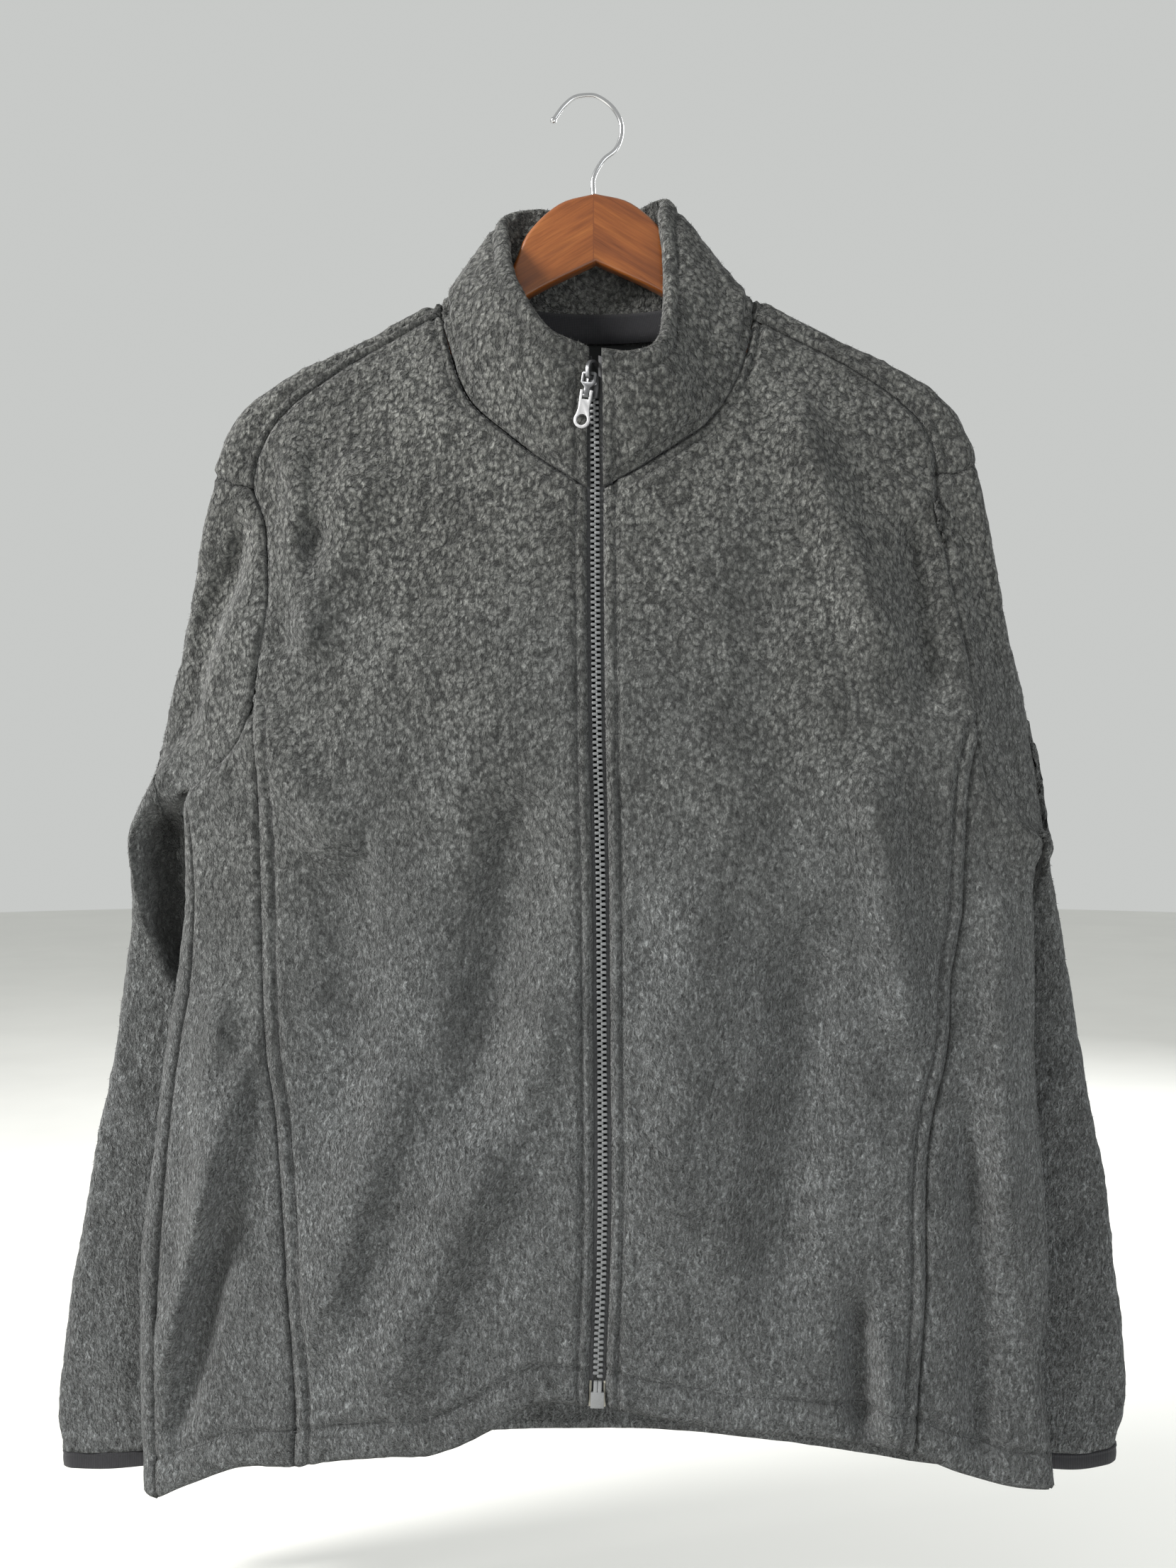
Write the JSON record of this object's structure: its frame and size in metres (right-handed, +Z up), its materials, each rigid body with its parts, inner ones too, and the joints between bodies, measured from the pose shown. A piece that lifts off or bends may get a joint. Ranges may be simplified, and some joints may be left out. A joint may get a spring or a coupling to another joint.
{
  "type": "fleece zip jacket on a wooden hanger",
  "caption": "Fleece jacket with a stand collar, full-length front zip, long sleeves and seam pockets, hanging closed on a wooden hanger with a wire hook",
  "frame": {"origin": "the inner top of the hook, where it rests on a rail or nail", "axes": "+Z is up, -Y is the front of the jacket, +X is the wearer's left"},
  "size_m": [0.6797, 0.0769, 0.8688],
  "materials": {
    "fleece": "brushed heather fleece",
    "binding": "smooth stretch binding",
    "facing": "smooth dark lining",
    "pocket_cloth": "thin knitted pocket cloth",
    "zip_tape": "woven zip tape",
    "teeth": "satin moulded plastic",
    "slider": "dark gunmetal paint",
    "pull": "light grey matt paint",
    "wood": "satin red-brown lacquer",
    "hook": "bright chrome"
  },
  "bodies": {
    "jacket": {"front_right": "fleece", "front_left": "fleece", "side_front_right": "fleece", "side_front_left": "fleece", "back": "fleece", "sleeve_right": "fleece", "sleeve_left": "fleece", "collar": "fleece", "cuff_binding_right": "binding", "cuff_binding_left": "binding", "pocket_bag_right": "pocket_cloth", "pocket_bag_left": "pocket_cloth", "back_facing": "facing", "neck_tape": "facing", "zip_chain": "teeth", "zip_tape_right": "zip_tape", "zip_tape_left": "zip_tape", "zip_box": "teeth", "zip_slider": "slider", "hanger_wood": "wood", "hanger_hook": "hook"},
    "pull_link": {"pull_link": "slider"},
    "pull_tab": {"pull_tab": "pull"}
  },
  "joints": [
    {"name": "pull_link_hinge", "type": "hinge", "parent": "jacket", "child": "pull_link", "pos_m": [-0.00234, -0.0417, -0.1827], "axis": [-0.9412, 0.2899, 0.1737], "range_deg": [0, 130]},
    {"name": "pull_tab_hinge", "type": "hinge", "parent": "pull_link", "child": "pull_tab", "pos_m": [-0.00456, -0.04101, -0.1959], "axis": [-0.9412, 0.2899, 0.1737], "range_deg": [0, 60]}
  ]
}
